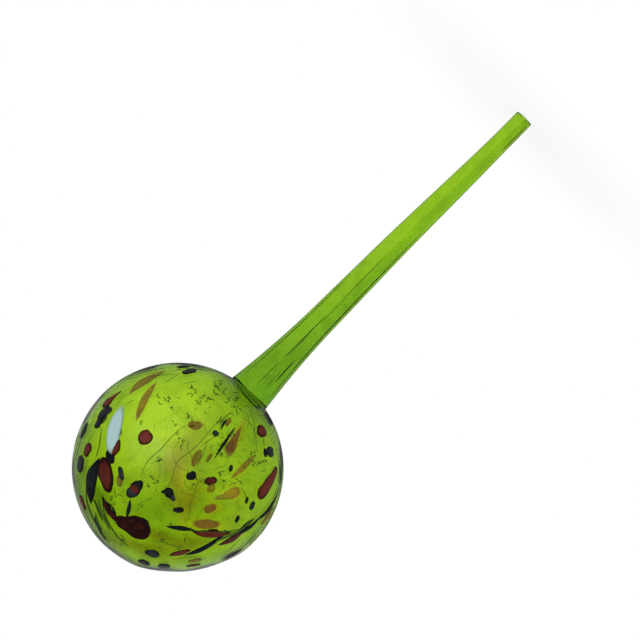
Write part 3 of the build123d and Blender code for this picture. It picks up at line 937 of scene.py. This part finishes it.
def smooth_line(points, count):
    """A smooth line through points: between two of them, a cubic whose slope at each end runs along the
    line between that point's neighbours."""
    points = np.asarray(points, float)
    place = np.linspace(0.0, len(points) - 1.0, count)
    here = np.clip(place.astype(int), 0, len(points) - 2)
    t = (place - here)[:, None]
    before = points[np.maximum(here - 1, 0)]
    after = points[np.minimum(here + 2, len(points) - 1)]
    start = points[here]
    end = points[here + 1]
    bend = 2 * before - 5 * start + 4 * end - after
    twist = 3 * (start - end) + after - before
    return start + 0.5 * t * (end - before + t * (bend + t * twist))


def thread(path, outward, width, flatness):
    """A thin thread along a path: rings of an ellipse across it, as wide as the width in millimetres and
    as high as the flatness times that, which shrink to a point at both ends."""
    ahead = np.gradient(path, axis=0)
    beside = np.cross(outward, ahead)
    beside = beside / np.linalg.norm(beside, axis=1)[:, None]
    around = np.linspace(0.0, 2 * pi, WISP_STEPS, endpoint=False)[None, :, None]
    share = np.clip(np.linspace(0.0, 1.0, len(path)), THREAD_END, 1.0 - THREAD_END)
    fullness = np.sqrt(np.sin(pi * share))[:, None, None]
    spread = np.cos(around) * beside[:, None] + flatness * np.sin(around) * outward[:, None]
    rings = path[:, None] + 0.5 * width * MILLIMETRE * fullness * spread
    return rings, path[[0, -1]] + THREAD_POINT * (path[[0, -1]] - path[[1, -2]])


def wisp(points, width):
    """A thread along places on the show side of the bulb."""
    line = smooth_line(points, WISP_PER_POINT * len(points))
    outward = on_bulb(line[:, 0], line[:, 1])
    return thread(BULB_CENTRE + BULB_RADIUS * outward, outward, width, WISP_HEIGHT)


def rim_wisp(width, start, end):
    """A thread round the rim of the show side. Its angle runs evenly from start to end, and so does its
    height towards the eye, plus half a sine wave that bows it."""
    share = np.linspace(0.0, 1.0, RIM_POINTS)[:, None]
    angle = np.radians(start[0] + (end[0] - start[0]) * share)
    toward = start[1] + (end[1] - start[1]) * share + RIM_BOW * np.sin(pi * share)
    flat = np.cos(angle) * SHOW_RIGHT + np.sin(angle) * SHOW_UP
    outward = np.sqrt(1.0 - toward**2) * flat + toward * SHOW_TOWARD
    return thread(BULB_CENTRE + BULB_RADIUS * outward, outward, width, RIM_HEIGHT)


def place_near(across, up, spread):
    """A random place near another one, at a spread in millimetres."""
    return np.array((across, up)) + rng.normal(0.0, spread * MILLIMETRE_SHARE, 2)


def squiggle(across, up, spread):
    """A short thread that starts near a place and curls one way, as the edge of a bubble does: a few steps,
    each turned from the last by about the same angle."""
    start = place_near(across, up, spread)
    turn = rng.uniform(-CURL_TURN, CURL_TURN)
    heading = rng.uniform(0.0, 2 * pi) + turn * np.arange(CURL_STEPS)
    heading = heading + rng.normal(0.0, CURL_WANDER, CURL_STEPS)
    lengths = rng.uniform(*CURL_STEP, CURL_STEPS)[:, None]
    steps = lengths * np.stack((np.cos(heading), np.sin(heading)), axis=-1)
    walk = start + np.vstack((np.zeros(2), np.cumsum(steps, axis=0))) * MILLIMETRE_SHARE
    return wisp(walk, rng.uniform(*CURL_WIDTH))


def crumb(across, up, spread):
    """A dot of dark glass near a place: the shortest thread, about as wide as it is long."""
    start = place_near(across, up, spread)
    end = place_near(*start, CRUMB_LENGTH)
    return wisp((start, end), rng.uniform(*CRUMB_WIDTH))


def threads_mesh(name, threads):
    """All threads in one mesh, each with its own tone. The edge value is 0, as in the middle of a chip."""
    counts = [rings.shape[0] * rings.shape[1] + len(ends) for rings, ends in threads]
    tone = np.repeat(mixed_tones(len(threads)), counts)
    return joined_mesh(name, threads, [("edge", np.zeros(tone.size)), ("tone", tone)])


wisps = [wisp(points, width) for width, points in WISPS] + [rim_wisp(*row) for row in RIM_WISPS]
for across, up, spread, count in CLUSTERS:
    wisps += [squiggle(across, up, spread) for _ in range(count)]
    wisps += [crumb(across, up, spread) for _ in range(count)]
SMOKE_DEEP = (0.032, 0.064, 0.009)
SMOKE_LIGHT = (0.075, 0.150, 0.014)
smoke_glass = chip_material("smoke_glass", SMOKE_DEEP, SMOKE_LIGHT, mottle=0.8, soft=0.10)
place_piece(threads_mesh("smoke_wisps", wisps), smoke_glass, "black_glass")

# Drawn streaks: dark threads that the pulling stretched along the stem, some on its outside and some on
# the wall of its bore. Each row: start and end from the bulb's middle in millimetres, angle from the
# show side, width in millimetres, and the wall it lies on.
STREAK_POINTS = 40
STREAK_HEIGHT = 0.3
STREAK_LOWEST = 0.0006
STREAKS = [
    (126.0, 100.0, 2.0, 0.26, stem_outside),
    (104.0, 86.0, 6.0, 0.24, stem_outside),
    (89.0, 64.0, 0.0, 0.46, stem_outside),
    (80.0, 66.0, 5.0, 0.28, stem_outside),
    (67.0, 54.0, 32.0, 0.80, stem_outside),
    (62.0, 47.0, -2.0, 0.34, stem_outside),
    (60.0, 50.0, 22.0, 0.28, stem_outside),
    (144.0, 46.0, 68.0, 0.75, stem_bore),
    (110.0, 46.0, -61.0, 0.42, stem_bore),
    (208.0, 192.0, 74.0, 1.00, stem_outside),
]


def streak(near_tip, near_bulb, angle, width, wall):
    """A thread straight up the stem on one wall of it, at one side."""
    height = BULB_CENTRE[2] - np.linspace(near_tip, near_bulb, STREAK_POINTS) * MILLIMETRE
    height = np.maximum(height, STREAK_LOWEST)
    outward = np.array((-sin(radians(angle)), -cos(radians(angle)), 0.0)) + np.zeros((STREAK_POINTS, 3))
    aside = stem_bow(height) + (bore_shift(height) if wall is stem_bore else 0.0)
    path = outward * wall(height)[:, None] + np.stack((aside, 0.0 * height, height), axis=-1)
    return thread(path, outward, width, STREAK_HEIGHT)


place_piece(threads_mesh("stem_streaks", [streak(*row) for row in STREAKS]), smoke_glass, "black_glass")


# Stage: a white floor, level with the stem's open end. It shows the shadow near the globe and fades to
# plain white further out.
FLOOR_HALF = 3.0
FLOOR_GAP = 0.0002
FLOOR_WHITE = 0.92
SHADOW_NEAR = 0.02
SHADOW_FAR = 0.12
FADE_LEAST = 0.8
ROOM_MIDDLE = 0.13
floor_level = cad_low.z - FLOOR_GAP
floor_ways = ((-1, -1), (1, -1), (1, 1), (-1, 1))
floor_corners = [(x * FLOOR_HALF, y * FLOOR_HALF, floor_level) for x, y in floor_ways]
floor_mesh = bpy.data.meshes.new("floor")
floor_mesh.from_pydata(floor_corners, [], [(0, 1, 2, 3)])
floor = bpy.data.objects.new("floor", floor_mesh)
bpy.context.scene.collection.objects.link(floor)


def floor_material():
    """Matte white under the globe, which keeps its shadow, fading to the plain white of the surroundings
    for the eye and through glass. In reflections it is as dim as the room."""
    material = bpy.data.materials.new("floor_white")
    material.use_nodes = True
    tree = material.node_tree
    nodes = tree.nodes
    links = tree.links
    nodes.clear()
    matte = nodes.new("ShaderNodeBsdfDiffuse")
    matte.inputs["Color"].default_value = (FLOOR_WHITE, FLOOR_WHITE, FLOOR_WHITE, 1.0)
    glow = nodes.new("ShaderNodeEmission")
    glow.inputs["Color"].default_value = (1.0, 1.0, 1.0, 1.0)
    place = nodes.new("ShaderNodeTexCoord")
    reach = nodes.new("ShaderNodeVectorMath")
    reach.operation = "LENGTH"
    fade = range_node(tree, low=SHADOW_NEAR, high=SHADOW_FAR, to_low=FADE_LEAST)
    fade.interpolation_type = "SMOOTHSTEP"
    path = nodes.new("ShaderNodeLightPath")
    mirrored = math_node(tree, "SUBTRACT")
    mirrored.use_clamp = True
    seen = math_node(tree, "MAXIMUM")
    faded = math_node(tree, "MULTIPLY")
    share = math_node(tree, "MAXIMUM")
    dimmed = nodes.new("ShaderNodeMix")
    dimmed.data_type = "FLOAT"
    dimmed.inputs["A"].default_value = 1.0
    dimmed.inputs["B"].default_value = ROOM_MIDDLE
    mix = nodes.new("ShaderNodeMixShader")
    result = nodes.new("ShaderNodeOutputMaterial")
    links.new(place.outputs["Object"], reach.inputs[0])
    links.new(reach.outputs["Value"], fade.inputs["Value"])
    links.new(path.outputs["Is Glossy Ray"], mirrored.inputs[0])
    links.new(path.outputs["Is Transmission Ray"], mirrored.inputs[1])
    links.new(path.outputs["Is Camera Ray"], seen.inputs[0])
    links.new(path.outputs["Is Transmission Ray"], seen.inputs[1])
    chain(tree, seen, faded, share)
    links.new(fade.outputs["Result"], faded.inputs[1])
    links.new(mirrored.outputs[0], share.inputs[1])
    links.new(mirrored.outputs[0], dimmed.inputs["Factor"])
    links.new(dimmed.outputs["Result"], glow.inputs["Strength"])
    links.new(share.outputs[0], mix.inputs["Fac"])
    links.new(matte.outputs["BSDF"], mix.inputs[1])
    links.new(glow.outputs["Emission"], mix.inputs[2])
    links.new(mix.outputs["Shader"], result.inputs["Surface"])
    return material


floor_mesh.materials.append(floor_material())

# Surroundings: white to the eye and through the glass. Reflections show a dim room, dark on the side of
# the eye and lightest behind the globe and to its right, with one soft glow high on the left of the eye.
AMBIENT = 0.65
ROOM_DARK = 0.03
ROOM_LIGHT = 0.42
ROOM_TURN = -0.2
ROOM_GLOW = 0.55
GLOW_SPREAD = radians(48.0)
LIGHT_WALL = 0.45 * SHOW_RIGHT + 0.30 * SHOW_UP - 0.84 * SHOW_TOWARD
GLOW_FROM = -0.28 * SHOW_RIGHT + 0.56 * SHOW_UP + 0.77 * SHOW_TOWARD
world = bpy.data.worlds.new("white_room")
bpy.context.scene.world = world
world.use_nodes = True
room_tree = world.node_tree
room_links = room_tree.links
room = room_tree.nodes["Background"]
room.inputs["Color"].default_value = (1.0, 1.0, 1.0, 1.0)
room_path = room_tree.nodes.new("ShaderNodeLightPath")
room_place = room_tree.nodes.new("ShaderNodeTexCoord")


def toward_node(way):
    """How far a direction in the room points one way: the dot product of the two."""
    node = room_tree.nodes.new("ShaderNodeVectorMath")
    node.operation = "DOT_PRODUCT"
    node.inputs[1].default_value = way
    room_links.new(room_place.outputs["Generated"], node.inputs[0])
    return node


wall_way = toward_node(LIGHT_WALL)
glow_way = toward_node(GLOW_FROM)
dim = range_node(room_tree, low=ROOM_TURN, high=1.0, to_low=ROOM_DARK, to_high=ROOM_LIGHT)
halo = range_node(room_tree, low=cos(GLOW_SPREAD), high=1.0, to_high=ROOM_GLOW)
halo.interpolation_type = "SMOOTHSTEP"
lit = math_node(room_tree, "ADD")
mirrored_level = room_tree.nodes.new("ShaderNodeMix")
mirrored_level.data_type = "FLOAT"
mirrored_level.inputs["A"].default_value = AMBIENT
seen_white = math_node(room_tree, "MAXIMUM")
level = room_tree.nodes.new("ShaderNodeMix")
level.data_type = "FLOAT"
level.inputs["B"].default_value = 1.0
room_links.new(wall_way.outputs["Value"], dim.inputs["Value"])
room_links.new(glow_way.outputs["Value"], halo.inputs["Value"])
room_links.new(dim.outputs["Result"], lit.inputs[0])
room_links.new(halo.outputs["Result"], lit.inputs[1])
room_links.new(lit.outputs[0], mirrored_level.inputs["B"])
room_links.new(room_path.outputs["Is Glossy Ray"], mirrored_level.inputs["Factor"])
room_links.new(room_path.outputs["Is Camera Ray"], seen_white.inputs[0])
room_links.new(room_path.outputs["Is Transmission Ray"], seen_white.inputs[1])
room_links.new(mirrored_level.outputs["Result"], level.inputs["A"])
room_links.new(seen_white.outputs[0], level.inputs["Factor"])
room_links.new(level.outputs["Result"], room.inputs["Strength"])


def soft_box(name, place, width, height, power):
    """A lamp that faces the bulb. It lights the glass but doesn't show in it."""
    lamp = bpy.data.lights.new(name, "AREA")
    lamp.shape = "RECTANGLE"
    lamp.size = width
    lamp.size_y = height
    lamp.energy = power
    box = bpy.data.objects.new(name, lamp)
    bpy.context.scene.collection.objects.link(box)
    box.location = place
    box.rotation_euler = (Vector(BULB_CENTRE) - Vector(place)).to_track_quat("-Z", "Y").to_euler()
    box.visible_transmission = False
    box.visible_glossy = False


soft_box("side_box", (0.9, -0.1, 0.4), width=0.14, height=0.4, power=1.2)
soft_box("top_box", (0.2, -0.5, 1.2), width=0.8, height=0.8, power=2.6)
soft_box("front_fill", (0.3, -1.1, 0.4), width=0.8, height=0.8, power=1.4)

# Camera: on the show side, raised a little towards the crown, rolled so that the stem rises to the right.
# The bulb's middle lies to the left of and below the middle of the picture.
FRAME_WIDTH = 0.2689
CAMERA_LEAN = radians(6.5)
GLOBE_LEFT = 0.05977
GLOBE_BELOW = 0.06239
camera = bpy.data.cameras.new("camera")
camera.lens = 400.0
camera.sensor_width = 36.0
viewpoint = bpy.data.objects.new("camera", camera)
bpy.context.scene.collection.objects.link(viewpoint)
distance = FRAME_WIDTH * camera.lens / camera.sensor_width
view_right, view_up, view_back = show_axes(CAMERA_LEAN)
aim = Vector(BULB_CENTRE + view_right * GLOBE_LEFT + view_up * GLOBE_BELOW)
turned = Matrix((view_right, view_up, view_back)).transposed().to_4x4()
viewpoint.matrix_world = Matrix.Translation(aim + Vector(view_back) * distance) @ turned
bpy.context.scene.camera = viewpoint
bpy.context.scene.view_settings.view_transform = "Standard"
